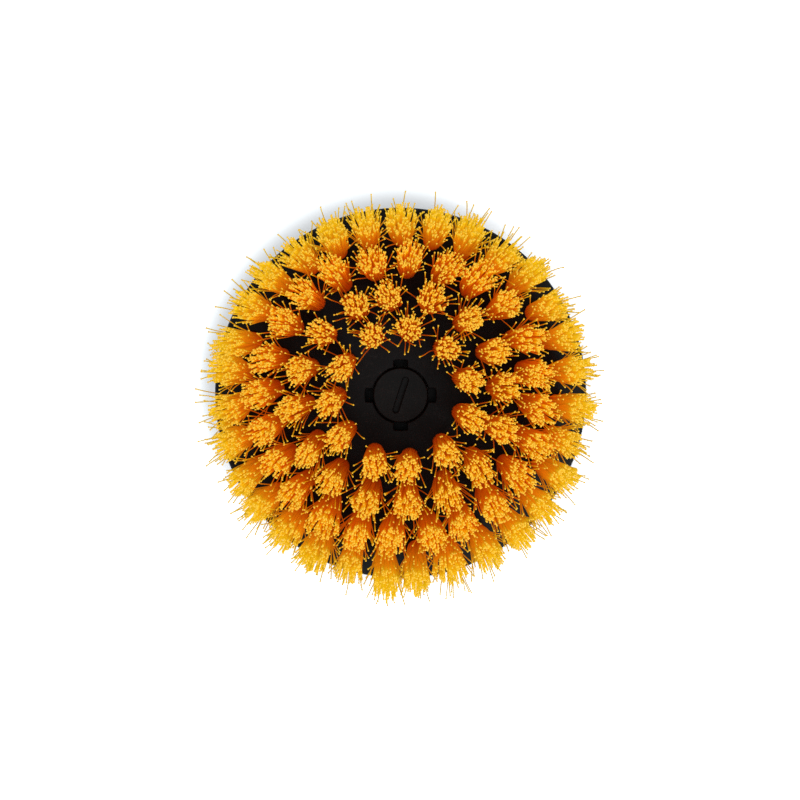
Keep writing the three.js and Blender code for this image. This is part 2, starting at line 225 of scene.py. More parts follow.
class WheelBrushBristleSettings(bpy.types.PropertyGroup):
    """Sizes, spread and colours of the nylon tufts."""

    filament_diameter: length("Filament diameter", 0.39, "Thickness of one nylon filament")
    filaments_per_tuft: IntProperty(
        name="Filaments per tuft", description="Filament ends in each tuft", default=156, min=7
    )
    trim_height: length("Trim height", 30, "Height of the trimmed tips above the block's face, along the tuft")
    tip_radius: length("Tip radius", 4.1, "Radius that a tuft of the inner ring spreads to at its tips")
    outer_spread: FloatProperty(
        name="Outer spread",
        description="How much wider each ring's tufts spread than those of the ring inside it",
        default=0.055,
        subtype="FACTOR",
    )
    stray_reach: length("Stray reach", 5.2, "How far the tip of a stray filament gets from its tuft")
    stray_share: FloatProperty(
        name="Strays",
        description="Share of the filaments that lean away from their tuft",
        default=0.24,
        min=0,
        max=1,
        subtype="FACTOR",
    )
    # Root, tip, outer edge and cut end colours carry painted light and shade: the root's darker orange is
    # painted shade deep in the tuft, the tip and outer edge yellows are painted light coming through the nylon,
    # and the cut end's paleness is partly the cut nylon and partly a painted highlight.
    root_colour: colour("Root", (0.58, 0.07, 0.001), "Colour of the filaments near the block")
    body_colour: colour("Body", (0.72, 0.185, 0.002), "Colour of the filaments along most of their length")
    tip_colour: colour("Tip", (0.705, 0.43, 0.006), "Colour of the filaments near their tips")
    edge_colour: colour(
        "Outer edge",
        (0.68, 0.515, 0.011),
        "Colour of the filaments beyond the block's rim, where daylight comes through them",
    )
    end_colour: colour("Cut end", (0.68, 0.385, 0.05), "Colour of the filaments' cut ends")


class WheelBrushMetalSettings(bpy.types.PropertyGroup):
    """Finish of the arbor, the nut, the washer and the anchors."""

    steel_colour: colour("Steel", (0.42, 0.42, 0.415), "Colour of the turned steel")
    zinc_colour: colour("Zinc", (0.55, 0.55, 0.52), "Colour of the zinc plating")


class WheelBrushStageSettings(bpy.types.PropertyGroup):
    """The camera, the lamps and the floor."""

    camera_height: length("Camera height", 372.2, "Height of the camera above the block's face")
    camera_offset: length("Camera offset", 25.2, "How far the camera stands from the brush's axis, towards +Y")
    key_power: power("Key lamp", 2.6, "Power of the large lamp above the brush")
    fill_power: power("Fill lamp", 0.4, "Power of the lamp low at one side")
    sky_strength: FloatProperty(
        name="Sky", description="Strength of the even light from all round", default=0.42, min=0
    )


# ---- solids as points and faces


def arc_points(centre, start, angle, steps):
    """Points on an arc that begins at start and turns by this angle about centre, in a plane."""
    points = []
    for step in range(steps + 1):
        turn = Matrix.Rotation(angle * step / steps, 2)
        points.append(centre + turn @ (start - centre))
    return points


def rounded(corners, closed=False, steps=6):
    """An outline through corners given as (x, y) or (x, y, radius), with an arc where there is a radius."""
    outline = []
    count = len(corners)
    for index, corner in enumerate(corners):
        here = Vector(corner[:2])
        radius = corner[2] if len(corner) > 2 else 0
        if not radius or (not closed and index in (0, count - 1)):
            outline.append(here)
            continue
        before = (Vector(corners[index - 1][:2]) - here).normalized()
        after = (Vector(corners[(index + 1) % count][:2]) - here).normalized()
        half = before.angle(after) / 2
        start = here + before * radius / math.tan(half)
        centre = here + (before + after).normalized() * radius / math.sin(half)
        side = before.x * after.y - before.y * after.x
        outline.extend(arc_points(centre, start, math.copysign(math.pi - 2 * half, -side), steps))
    return outline


def turned(profile, sides):
    """The solid that a profile of (radius, z) points sweeps about Z, from the axis to the axis or as a loop."""
    points, rings, faces = [], [], []
    closed = profile[0][0] > MERGE
    for radius, z in profile:
        if radius <= MERGE:
            rings.append([len(points)] * sides)
            points.append((0, 0, z))
            continue
        rings.append(list(range(len(points), len(points) + sides)))
        for side in range(sides):
            angle = math.tau * side / sides
            points.append((radius * math.cos(angle), radius * math.sin(angle), z))
    pairs = list(zip(rings, rings[1:]))
    if closed:
        pairs.append((rings[-1], rings[0]))
    for low, high in pairs:
        for side in range(sides):
            after = (side + 1) % sides
            loop = [low[side], low[after], high[after], high[side]]
            face = list(dict.fromkeys(loop))
            if len(face) > 2:
                faces.append(face)
    return points, faces


def stacked(sections):
    """The solid between outlines of one length, each given as (outline, z) from the bottom up."""
    points, faces = [], []
    count = len(sections[0][0])
    for outline, z in sections:
        points.extend((x, y, z) for x, y in outline)
    faces.append(list(range(count))[::-1])
    faces.append([len(points) - count + index for index in range(count)])
    for level in range(len(sections) - 1):
        for index in range(count):
            after = (index + 1) % count
            low, high = level * count, (level + 1) * count
            faces.append([low + index, low + after, high + after, high + index])
    return points, faces


def raised(outline, low, high):
    return stacked([(outline, low), (outline, high)])


def moved(solid, matrix):
    points, faces = solid
    return [tuple(matrix @ Vector(point)) for point in points], faces


def gathered(solids):
    """Several solids as one list of points and faces."""
    points, faces = [], []
    for some_points, some_faces in solids:
        start = len(points)
        points.extend(some_points)
        faces.extend([start + index for index in face] for face in some_faces)
    return points, faces


def around(solid, count, first=0.0):
    """Copies of a solid evenly about Z, the first turned by this many degrees."""
    turns = (Matrix.Rotation(math.radians(first + index * 360 / count), 4, "Z") for index in range(count))
    return gathered(moved(solid, turn) for turn in turns)


def hexagon(flats, rounding=0.0, steps=3):
    """A hexagon's outline with a flat facing +X."""
    corner = flats / math.sqrt(3)
    corners = []
    for index in range(6):
        angle = math.radians(30 + 60 * index)
        corners.append((corner * math.cos(angle), corner * math.sin(angle), rounding))
    return rounded(corners, closed=True, steps=steps)


def stadium(length, width, steps=12):
    """A slot's outline with round ends, along X."""
    end = Vector(((length - width) / 2, 0))
    right = arc_points(end, end - Vector((0, width / 2)), math.pi, steps)
    left = arc_points(-end, -end + Vector((0, width / 2)), math.pi, steps)
    return right + left


def spoke(width, reach, start=0.0, steps=8):
    """The outline of a straight bar along X that ends in an arc about the origin."""
    half = math.asin(width / 2 / reach)
    tip = [Vector((reach * math.cos(a), reach * math.sin(a))) for a in np.linspace(-half, half, steps)]
    return [Vector((start, -width / 2)), *tip, Vector((start, width / 2))]


def ring_slice(inner, outer, first, last, steps=24):
    """The outline of a slice of a ring between two angles in degrees."""
    angles = np.radians(np.linspace(first, last, steps))
    far = [Vector((outer * math.cos(a), outer * math.sin(a))) for a in angles]
    near = [Vector((inner * math.cos(a), inner * math.sin(a))) for a in angles[::-1]]
    return far + near


# ---- Blender objects


def scene_object(name, data):
    """An object in the scene with this data."""
    made = bpy.data.objects.new(name, data)
    bpy.context.scene.collection.objects.link(made)
    return made


def mesh_object(name, solid):
    """A mesh object in the scene with its faces pointing out."""
    mesh = bpy.data.meshes.new(name)
    mesh.from_pydata([tuple(point) for point in solid[0]], [], solid[1])
    made = bmesh.new()
    made.from_mesh(mesh)
    bmesh.ops.recalc_face_normals(made, faces=made.faces)
    made.to_mesh(mesh)
    made.free()
    return scene_object(name, mesh)


def applied(made, name, kind, **settings):
    """Adds a modifier with these settings and applies it."""
    modifier = made.modifiers.new(name, kind)
    for key, value in settings.items():
        setattr(modifier, key, value)
    depsgraph = bpy.context.evaluated_depsgraph_get()
    old = made.data
    fresh = bpy.data.meshes.new_from_object(made.evaluated_get(depsgraph), depsgraph=depsgraph)
    made.modifiers.clear()
    made.data = fresh
    fresh.name = old.name
    bpy.data.meshes.remove(old)


def joined_with(made, solid, operation):
    """Unites the object with a solid, or cuts the solid out of it."""
    tool = mesh_object("tool", solid)
    applied(made, operation, "BOOLEAN", object=tool, operation=operation, solver="EXACT")
    mesh = tool.data
    bpy.data.objects.remove(tool)
    bpy.data.meshes.remove(mesh)


def smoothed(made, angle=32):
    """Smooth shading, with a hard edge wherever faces meet at more than this many degrees."""
    made.data.polygons.foreach_set("use_smooth", [True] * len(made.data.polygons))
    made.data.set_sharp_from_angle(angle=math.radians(angle))
    applied(made, "Normals", "WEIGHTED_NORMAL", mode="FACE_AREA", weight=100, keep_sharp=True)


def finished(made, material, body, slot, *nodes):
    """Gives a piece its material and its body, and hides the CAD nodes that it stands for; the slot that names
    its finish is not used.
    """
    made.data.materials.clear()
    made.data.materials.append(material)
    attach(made, body)
    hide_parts(*nodes)
    return made


# ---- node trees


def add(tree, kind, **settings):
    node = tree.nodes.new(kind)
    for key, value in settings.items():
        setattr(node, key, value)
    return node


def number(tree, operation, *values, clamp=False):
    """A maths node on values or sockets; its result socket."""
    node = add(tree, "ShaderNodeMath", operation=operation, use_clamp=clamp)
    for socket, value in zip(node.inputs, values):
        feed(tree, socket, value)
    return node.outputs[0]


def feed(tree, socket, value):
    if isinstance(value, bpy.types.NodeSocket):
        tree.links.new(value, socket)
    else:
        socket.default_value = value


def spread(tree, value, low, high, to_low=0.0, to_high=1.0):
    """Maps a value from one span to another, smoothly, and holds it there."""
    node = add(tree, "ShaderNodeMapRange", interpolation_type="SMOOTHSTEP")
    for socket, given in zip(node.inputs, (value, low, high, to_low, to_high)):
        feed(tree, socket, given)
    return node.outputs[0]


def mixed(tree, share, first, second, blend="MIX"):
    """A colour between two, by a share."""
    node = add(tree, "ShaderNodeMix", data_type="RGBA", blend_type=blend)
    for name, value in (("Factor_Float", share), ("A_Color", first), ("B_Color", second)):
        socket = next(s for s in node.inputs if s.identifier == name)
        feed(tree, socket, value)
    return next(s for s in node.outputs if s.identifier == "Result_Color")


def fill(tree, node, **values):
    """Gives a node's inputs their values or links, under names that use _ for a space."""
    for key, value in values.items():
        feed(tree, node.inputs[key.replace("_", " ")], value)
    return node


def own_place(tree):
    return add(tree, "ShaderNodeTexCoord").outputs["Object"]


def noise(tree, scale, detail=2.0, roughness=0.5, vector=None):
    """Noise over the piece's own coordinates; its value runs from 0 to 1."""
    vector = own_place(tree) if vector is None else vector
    node = add(tree, "ShaderNodeTexNoise")
    return fill(tree, node, Vector=vector, Scale=scale, Detail=detail, Roughness=roughness).outputs["Fac"]


def attribute(tree, label):
    return add(tree, "ShaderNodeAttribute", attribute_name=label).outputs["Fac"]


def group(name, inputs, outputs):
    """A new shader node group with these sockets, and its input and output nodes."""
    tree = bpy.data.node_groups.new(name, "ShaderNodeTree")
    for label, kind, default in inputs:
        socket = tree.interface.new_socket(label, in_out="INPUT", socket_type=kind)
        socket.default_value = default
    for label, kind in outputs:
        tree.interface.new_socket(label, in_out="OUTPUT", socket_type=kind)
    return tree, add(tree, "NodeGroupInput"), add(tree, "NodeGroupOutput")


def placed(tree, group_tree, **values):
    """A group node in a material with its own values; its outputs."""
    return fill(tree, add(tree, "ShaderNodeGroup", node_tree=group_tree), **values).outputs


@functools.cache
def moulded_grain_group():
    """The spark-eroded texture that a mould leaves: a fine height, and a broad mottle."""
    tree, inward, outward = group(
        "Moulded grain",
        [("Grain scale", "NodeSocketFloat", 2600.0), ("Mottle scale", "NodeSocketFloat", 90.0)],
        [("Height", "NodeSocketFloat"), ("Mottle", "NodeSocketFloat")],
    )
    where, scale = own_place(tree), inward.outputs["Grain scale"]
    pits = add(tree, "ShaderNodeTexVoronoi", feature="SMOOTH_F1")
    fill(tree, pits, Vector=where, Scale=scale, Smoothness=0.6)
    height = number(tree, "ADD", pits.outputs["Distance"], noise(tree, scale, vector=where))
    broad = noise(tree, inward.outputs["Mottle scale"], 4, vector=where)
    fill(tree, outward, Height=number(tree, "MULTIPLY", height, 0.5), Mottle=spread(tree, broad, 0.32, 0.68))
    return tree


@functools.cache
def edge_wear_group():
    """A mask of the sharp edges, broken up as handling wears them."""
    tree, inward, outward = group(
        "Edge wear",
        [("Width", "NodeSocketFloat", 0.4 * MM), ("Breakup", "NodeSocketFloat", 400.0)],
        [("Mask", "NodeSocketFloat")],
    )
    soft = fill(tree, add(tree, "ShaderNodeBevel", samples=6), Radius=inward.outputs["Width"])
    flat = add(tree, "ShaderNodeNewGeometry")
    same = add(tree, "ShaderNodeVectorMath", operation="DOT_PRODUCT")
    tree.links.new(soft.outputs["Normal"], same.inputs[0])
    tree.links.new(flat.outputs["Normal"], same.inputs[1])
    edge = spread(tree, number(tree, "SUBTRACT", 1.0, same.outputs["Value"]), 0.03, 0.22)
    kept = spread(tree, noise(tree, inward.outputs["Breakup"], 5), 0.42, 0.66)
    fill(tree, outward, Mask=number(tree, "MULTIPLY", edge, kept))
    return tree


@functools.cache
def scuffs_group():
    """Fine scratches in all directions, and a thin dust between them."""
    tree, inward, outward = group(
        "Scuffs",
        [("Scale", "NodeSocketFloat", 160.0)],
        [("Scratches", "NodeSocketFloat"), ("Dust", "NodeSocketFloat")],
    )
    where, scale = own_place(tree), inward.outputs["Scale"]
    total = None
    for turn, squash in ((0.4, 16.0), (1.9, 22.0), (2.7, 18.0)):
        place = add(tree, "ShaderNodeMapping", vector_type="TEXTURE")
        tilt = (0.3 * turn, 0.2 * turn, turn)
        fill(tree, place, Vector=where, Rotation=tilt, Scale=(1 / squash, 1.0, 1.0))
        thin = spread(tree, noise(tree, scale, 1, vector=place.outputs["Vector"]), 0.66, 0.74)
        total = thin if total is None else number(tree, "MAXIMUM", total, thin)
    specks = noise(tree, number(tree, "MULTIPLY", scale, 4.0), 8, 0.7, where)
    fill(tree, outward, Scratches=total, Dust=spread(tree, specks, 0.5, 0.75))
    return tree


@functools.cache
def turning_marks_group():
    """The fine rings that a lathe leaves, and slow stains over them."""
    tree, inward, outward = group(
        "Turning marks",
        [("Marks per metre", "NodeSocketFloat", 5200.0)],
        [("Height", "NodeSocketFloat"), ("Stain", "NodeSocketFloat")],
    )
    place = fill(tree, add(tree, "ShaderNodeMapping"), Vector=own_place(tree), Scale=(0.04, 0.04, 1.0))
    rings = noise(tree, inward.outputs["Marks per metre"], 3, vector=place.outputs["Vector"])
    fill(tree, outward, Height=rings, Stain=spread(tree, noise(tree, 220.0, 4.0, 0.6), 0.4, 0.7))
    return tree


@functools.cache
def filament_colour_group():
    """The colour along a nylon filament from its root to its cut end, and from one filament to the next, with
    painted light and shade: painted shade near the root, painted light near the tips and past the rim, a partly
    painted highlight on the cut end, and a painted glow.
    """
    colours = ("Root colour", "Body colour", "Tip colour", "Edge colour", "End colour")
    tree, inward, outward = group(
        "Filament colour",
        [(label, "NodeSocketColor", (1, 1, 1, 1)) for label in colours]
        + [("Root glow", "NodeSocketFloat", 0.2), ("Tip glow", "NodeSocketFloat", 0.45)],
        [("Colour", "NodeSocketColor"), ("Glow", "NodeSocketColor")],
    )
    root, body, tip, edge, end = (inward.outputs[label] for label in colours)
    opening, beyond = attribute(tree, "opening"), attribute(tree, "beyond")
    # Painted shade: darker towards the root, where the tuft shades itself.
    low = mixed(tree, spread(tree, attribute(tree, "along"), 0.05, 0.7), root, body)
    # Painted light: yellower near the tips and past the rim, where light comes through the nylon.
    high = mixed(tree, beyond, mixed(tree, opening, low, tip), edge)
    # Tone varies at random from clump to clump and filament to filament, and is darkest on strays as painted
    # shade.
    tone = spread(tree, attribute(tree, "shade"), 0.0, 1.0, 0.8, 1.06)
    level = fill(tree, add(tree, "ShaderNodeHueSaturation"), Color=high, Value=tone).outputs["Color"]
    # Painted glow: strongest where the painted light of the tips and the rim is.
    outwards = number(tree, "MULTIPLY", attribute(tree, "outwards"), 0.6)
    thin = number(tree, "MAXIMUM", number(tree, "MAXIMUM", opening, beyond), outwards)
    inner_light = spread(tree, thin, 0.0, 1.0, inward.outputs["Root glow"], inward.outputs["Tip glow"])
    glow = add(tree, "ShaderNodeVectorMath", operation="SCALE")
    tree.links.new(level, glow.inputs[0])
    tree.links.new(inner_light, glow.inputs["Scale"])
    # The cut end is paler, partly as the cut nylon and partly as a painted highlight.
    fill(tree, outward, Colour=mixed(tree, attribute(tree, "cut_end"), level, end), Glow=glow.outputs[0])
    return tree


# ---- materials


def new_material(name):
    """A material with one Principled shader; its tree and that shader."""
    material = bpy.data.materials.new(name)
    material.use_nodes = True
    tree = material.node_tree
    shader = next(node for node in tree.nodes if node.type == "BSDF_PRINCIPLED")
    return material, tree, shader


def bump(tree, height, strength, distance):
    node = add(tree, "ShaderNodeBump")
    return fill(tree, node, Height=height, Strength=strength, Distance=distance).outputs["Normal"]


def toned(colour, factor=1.0, lift=0.0):
    """An opaque colour made lighter or darker."""
    return (*(min(1.0, factor * part + lift) for part in colour), 1.0)


def moulded_plastic(name, colour, grain_scale, roughness):
    """Black moulded plastic with a fine grain, greyed edges and a few scuffs."""
    material, tree, shader = new_material(name)
    grain = placed(tree, moulded_grain_group(), Grain_scale=grain_scale, Mottle_scale=85.0)
    wear = placed(tree, edge_wear_group(), Width=0.35 * MM, Breakup=420.0)["Mask"]
    scuffs = placed(tree, scuffs_group(), Scale=150.0)
    worn, dusty = toned(colour, 3.2, 0.012), (0.05, 0.048, 0.045, 1.0)
    base = mixed(tree, grain["Mottle"], toned(colour, 0.8), toned(colour, 1.35))
    layers = ((scuffs["Dust"], 0.16, dusty), (scuffs["Scratches"], 0.25, worn), (wear, 0.7, worn))
    for mask, share, over in layers:
        base = mixed(tree, number(tree, "MULTIPLY", mask, share), base, over)
    rough = spread(tree, grain["Mottle"], 0.0, 1.0, roughness - 0.05, roughness + 0.07)
    rough = number(tree, "SUBTRACT", rough, number(tree, "MULTIPLY", wear, 0.12))
    normal = bump(tree, grain["Height"], 0.35, 0.03 * MM)
    fill(tree, shader, Base_Color=base, Roughness=rough, Specular_IOR_Level=0.1, Normal=normal)
    return material


def bristle_nylon(settings):
    """Satin extruded nylon: orange where it is bundled tight as painted shade, yellow at the tips as painted
    light coming through, pale on the cut ends partly as a painted highlight.
    """
    material, tree, shader = new_material("Bristle nylon")
    parts = ("root", "body", "tip", "edge", "end")
    colours = {f"{part.title()}_colour": toned(getattr(settings, f"{part}_colour")) for part in parts}
    colour = placed(tree, filament_colour_group(), **colours, Root_glow=0.2, Tip_glow=0.45)
    # Painted glow: the emission stands in for light that passes through the nylon, so a tuft glows from within,
    # most of all near its tips; it is no lamp.
    fill(tree, shader, Emission_Color=colour["Glow"], Emission_Strength=1.0)
    fill(tree, shader, Base_Color=colour["Colour"], Roughness=0.5, Specular_IOR_Level=0.12)
    return material


def turned_metal(name, colour, marks, roughness):
    """Machined steel, bare or plated, with turning marks and slight stains."""
    material, tree, shader = new_material(name)
    turning = placed(tree, turning_marks_group(), Marks_per_metre=marks)
    wear = placed(tree, edge_wear_group(), Width=0.3 * MM, Breakup=500.0)["Mask"]
    stain = number(tree, "MULTIPLY", turning["Stain"], 0.55)
    base = mixed(tree, stain, toned(colour), toned(colour, 0.72))
    base = mixed(tree, number(tree, "MULTIPLY", wear, 0.6), base, toned(colour, 1.3))
    rough = spread(tree, turning["Stain"], 0.0, 1.0, roughness, roughness + 0.14)
    normal = bump(tree, turning["Height"], 0.3, 0.02 * MM)
    fill(tree, shader, Base_Color=base, Metallic=1.0, Roughness=rough, Normal=normal)
    return material


def plain_moulding(name, colour, roughness, mottle):
    """A small moulded or rubber part that the others mostly hide."""
    material, tree, shader = new_material(name)
    grain = placed(tree, moulded_grain_group(), Grain_scale=3200.0, Mottle_scale=mottle)
    base = mixed(tree, grain["Mottle"], toned(colour, 0.75), toned(colour, 1.25))
    rough = spread(tree, grain["Mottle"], 0.0, 1.0, roughness - 0.06, roughness + 0.06)
    normal = bump(tree, grain["Height"], 0.25, 0.02 * MM)
    fill(tree, shader, Base_Color=base, Roughness=rough, Normal=normal)
    return material


# ---- the tufts' places


def tuft_place(ring, index):
    """Where a tuft stands: its mouth on the block's face, leaning outwards along its own +Z."""
    count, pitches, first = RINGS[ring]
    turn = Matrix.Rotation(math.radians(first + index * 360 / count), 4, "Z")
    mouth = Matrix.Translation((pitches * RING_PITCH, 0, FACE_Z))
    lean = Matrix.Rotation(LEAN_OF_OUTER_RING * pitches / RINGS[-1][1], 4, "Y")
    return turn @ mouth @ lean


def tuft_places():
    return [tuft_place(ring, index) for ring in range(len(RINGS)) for index in range(RINGS[ring][0])]


# ---- the block


def plate_solid(settings):
    """The disc and its hub, turned."""
    edge = settings.edge_rounding
    profile = rounded(
        [
            (0, HUB_Z),
            (HUB_RADIUS - HUB_DRAFT, HUB_Z, edge),
            (HUB_RADIUS, PLATE_Z, 2 * edge),
            (BLOCK_RADIUS - REAR_BEVEL, PLATE_Z, 1.5 * MM),
            (BLOCK_RADIUS, PLATE_Z + REAR_BEVEL, 2 * MM),
            (BLOCK_RADIUS, FACE_Z, settings.rim_rounding),
            (0, FACE_Z),
        ]
    )
    return turned(profile, FINE)


def rib_ring_solid(settings):
    inner = RIB_RING_RADIUS - RIB_RING_WIDTH / 2
    outer = RIB_RING_RADIUS + RIB_RING_WIDTH / 2
    low = PLATE_Z - RIB_RING_HEIGHT
    edge = settings.edge_rounding
    high = PLATE_Z + OVERRUN
    loop = [(inner, low, edge), (outer, low, edge), (outer, high), (inner, high)]
    return turned(rounded(loop, closed=True, steps=4), FINE)


def rib_solid(settings):
    """One rib behind the plate, tapering from the hub to its tip, with drafted sides and eased edges."""
    start = HUB_RADIUS - RIB_OVERLAP
    high = PLATE_Z + OVERRUN
    edge = settings.edge_rounding
    side = [
        (start, high),
        (start, HUB_Z + RIB_STEP),
        (start + RIB_OVERLAP, HUB_Z + RIB_STEP, 2 * edge),
        (RIB_REACH, PLATE_Z - RIB_TIP_HEIGHT, 2 * edge),
        (RIB_REACH + OVERRUN, high),
    ]
    outline = rounded(side, steps=4)
    half = RIB_THICKNESS / 2
    sections = [
        ([point + Vector((0, edge * eased)) for point in outline], y)
        for y, eased in ((-half, 1.0), (-half + 0.3 * edge, 0.35), (-half + edge, 0.0))
    ]
    sections += [(section, -y) for section, y in reversed(sections)]
    points, faces = stacked(sections)
    return [(x, y, z) for x, z, y in points], faces


def middle_solids():
    """Everything that the nut, the washer, the arbor and the cap need cut out of the block's middle."""
    seat = CAP_RADIUS + CAP_CLEARANCE
    ease = 0.25 * MM
    bore = rounded(
        [
            (0, HUB_Z - OVERRUN),
            (STUD_BORE_RADIUS, HUB_Z - OVERRUN),
            (STUD_BORE_RADIUS, NUT_SEAT_Z),
            (NUT_RECESS_RADIUS, NUT_SEAT_Z),
            (NUT_RECESS_RADIUS, GASKET_SEAT_Z),
            (GASKET_SEAT_RADIUS, GASKET_SEAT_Z),
            (GASKET_SEAT_RADIUS, TRACK_Z),
            (seat, TRACK_Z),
            (seat, FACE_Z - ease),
            (seat + ease, FACE_Z),
            (seat + ease, FACE_Z + OVERRUN),
            (0, FACE_Z + OVERRUN),
        ]
    )
    key = hexagon(KEY_FLATS + 2 * KEY_CLEARANCE)
    lug_half = math.degrees(math.asin(LUG_WIDTH / 2 / LUG_REACH))
    track = ring_slice(CAP_RADIUS, TRACK_REACH, -LOCK_TURN - lug_half - 3, lug_half + 3)
    window = spoke(WINDOW_WIDTH, WINDOW_REACH, CAP_RADIUS / 2)
    wider = spoke(WINDOW_WIDTH + 2 * ease, WINDOW_REACH + ease, CAP_RADIUS / 2)
    opening = [(window, LIP_Z - 0.5 * MM), (window, FACE_Z - ease), (wider, FACE_Z), (wider, FACE_Z + OVERRUN)]
    return (
        turned(bore, ROUND),
        raised(key, HUB_Z - OVERRUN, KEY_TOP_Z + KEY_CLEARANCE),
        around(raised(track, TRACK_Z, LIP_Z), LUG_COUNT),
        around(stacked(opening), LUG_COUNT),
    )


def hole_solids(settings):
    """The tufts' holes, each with an eased mouth."""
    ease = settings.mouth_rounding
    profile = [
        (0, -HOLE_DEPTH),
        (HOLE_RADIUS, -HOLE_DEPTH),
        (HOLE_RADIUS, -ease),
        (HOLE_RADIUS + 0.3 * ease, -0.3 * ease),
        (HOLE_RADIUS + ease, 0),
        (HOLE_RADIUS + 3 * ease, 2 * ease),
        (0, 2 * ease),
    ]
    hole = turned(profile, 32)
    return gathered(moved(hole, place) for place in tuft_places())


class WHEELBRUSH_OT_block(bpy.types.Operator):
    """Make the moulded block with its ribs, its holes and the seat for the cap"""

    bl_idname = "wheelbrush.block"
    bl_label = "Moulded Block"

    def execute(self, context):
        settings = context.scene.wheel_brush_block
        block = mesh_object("moulded_block", plate_solid(settings))
        joined_with(block, rib_ring_solid(settings), "UNION")
        joined_with(block, around(rib_solid(settings), RIB_COUNT, 180 / RIB_COUNT), "UNION")
        for solid in middle_solids():
            joined_with(block, solid, "DIFFERENCE")
        joined_with(block, hole_solids(settings), "DIFFERENCE")
        smoothed(block)
        plastic = moulded_plastic("Block plastic", settings.plastic_colour, 2400.0, 0.44)
        finished(block, plastic, "brush", "moulded_plastic", "brush_block")
        return {"FINISHED"}


# ---- the cap


def cap_solid():
    """The cap's cup, turned, open downwards over the nut."""
    skirt = TRACK_Z + 0.1 * MM
    ceiling = CAP_TOP_Z - CAP_THICKNESS
    profile = rounded(
        [
            (0, ceiling),
            (CAP_RADIUS - CAP_WALL, ceiling, 0.5 * MM),
            (CAP_RADIUS - CAP_WALL, skirt, 0.2 * MM),
            (CAP_RADIUS, skirt, 0.2 * MM),
            (CAP_RADIUS, CAP_TOP_Z, 0.45 * MM),
            (0, CAP_TOP_Z),
        ]
    )
    return turned(profile, ROUND)


class WHEELBRUSH_OT_cap(bpy.types.Operator):
    """Make the centre cap with its coin slot and its four lugs"""

    bl_idname = "wheelbrush.cap"
    bl_label = "Centre Cap"

    def execute(self, context):
        settings = context.scene.wheel_brush_cap
        cap = mesh_object("slotted_cap", cap_solid())
        lug_half = math.degrees(math.asin(LUG_WIDTH / 2 / LUG_REACH))
        lug = ring_slice(CAP_RADIUS - CAP_WALL / 2, LUG_REACH, -lug_half, lug_half, 10)
        joined_with(cap, around(raised(lug, LUG_Z, LUG_TOP_Z), LUG_COUNT, -LOCK_TURN), "UNION")
        joined_with(cap, self.slot(settings), "DIFFERENCE")
        smoothed(cap)
        plastic = moulded_plastic("Cap plastic", settings.plastic_colour, 3000.0, 0.36)
        finished(cap, plastic, "cap", "cap_plastic", "centre_cap")
        return {"FINISHED"}

    @staticmethod
    def slot(settings):
        """The coin slot, with an eased edge."""
        ease = 0.3 * MM
        length, width = settings.slot_length, settings.slot_width
        narrow = stadium(length, width)
        wide = stadium(length + 2 * ease, width + 2 * ease)
        sections = [
            (narrow, CAP_TOP_Z - settings.slot_depth),
            (narrow, CAP_TOP_Z - ease),
            (wide, CAP_TOP_Z),
            (wide, CAP_TOP_Z + OVERRUN),
        ]
        return moved(stacked(sections), Matrix.Rotation(math.radians(COIN_SLOT_ANGLE), 4, "Z"))


# ---- the arbor and the fasteners


def shank_solid():
    return raised(hexagon(SHANK_FLATS, 0.35 * MM), 0, SHANK_LENGTH + OVERRUN)


def outside_of_shank_solid():
    """What the lathe takes off the hexagon, as a shell round it: the nose's cone and the retaining groove."""
    corner = SHANK_FLATS / math.sqrt(3)
    outside = corner + 2 * MM
    nose = 0.8 * MM
    half, slope = GROOVE_WIDTH / 2, 1 * MM
    clear = corner + 0.3 * MM
    loop = rounded(
        [
            (corner - nose, -0.5 * MM),
            (corner - nose, 0),
            (clear, nose + 0.3 * MM, 0.5 * MM),
            (clear, GROOVE_Z - half - 0.3 * MM),
            (GROOVE_NECK_RADIUS, GROOVE_Z - half + slope, 0.4 * MM),
            (GROOVE_NECK_RADIUS, GROOVE_Z + half - slope, 0.4 * MM),
            (clear, GROOVE_Z + half + 0.3 * MM),
            (outside, GROOVE_Z + half + 0.3 * MM),
            (outside, -0.5 * MM),
        ],
        closed=True,
    )
    return turned(loop, ROUND)


def flange_and_stud_solid():
    """The flange that the hub sits on and the stud that the nut turns on."""
    root = HUB_Z - 0.05 * MM
    top = ARBOR_HIGH.z
    profile = rounded(
        [
            (0, SHANK_LENGTH),
            (FLANGE_RADIUS, SHANK_LENGTH, 0.6 * MM),
            (FLANGE_RADIUS, root, 0.3 * MM),
            (STUD_RADIUS, root),
            (STUD_RADIUS, top - 0.8 * MM),
            (STUD_RADIUS - 0.8 * MM, top),
            (0, top),
        ]
    )
    return turned(profile, ROUND)


class WHEELBRUSH_OT_arbor(bpy.types.Operator):
    """Make the drive arbor: hex shank, flange, key and stud"""

    bl_idname = "wheelbrush.arbor"
    bl_label = "Drive Arbor"

    def execute(self, context):
        settings = context.scene.wheel_brush_metal
        arbor = mesh_object("turned_arbor", shank_solid())
        joined_with(arbor, outside_of_shank_solid(), "DIFFERENCE")
        joined_with(arbor, flange_and_stud_solid(), "UNION")
        key = hexagon(KEY_FLATS, 0.3 * MM)
        joined_with(arbor, raised(key, HUB_Z - OVERRUN, KEY_TOP_Z - KEY_CLEARANCE), "UNION")
        smoothed(arbor)
        steel = turned_metal("Arbor steel", settings.steel_colour, 5200.0, 0.27)
        finished(arbor, steel, "brush", "arbor_steel", "drive_arbor")
        return {"FINISHED"}


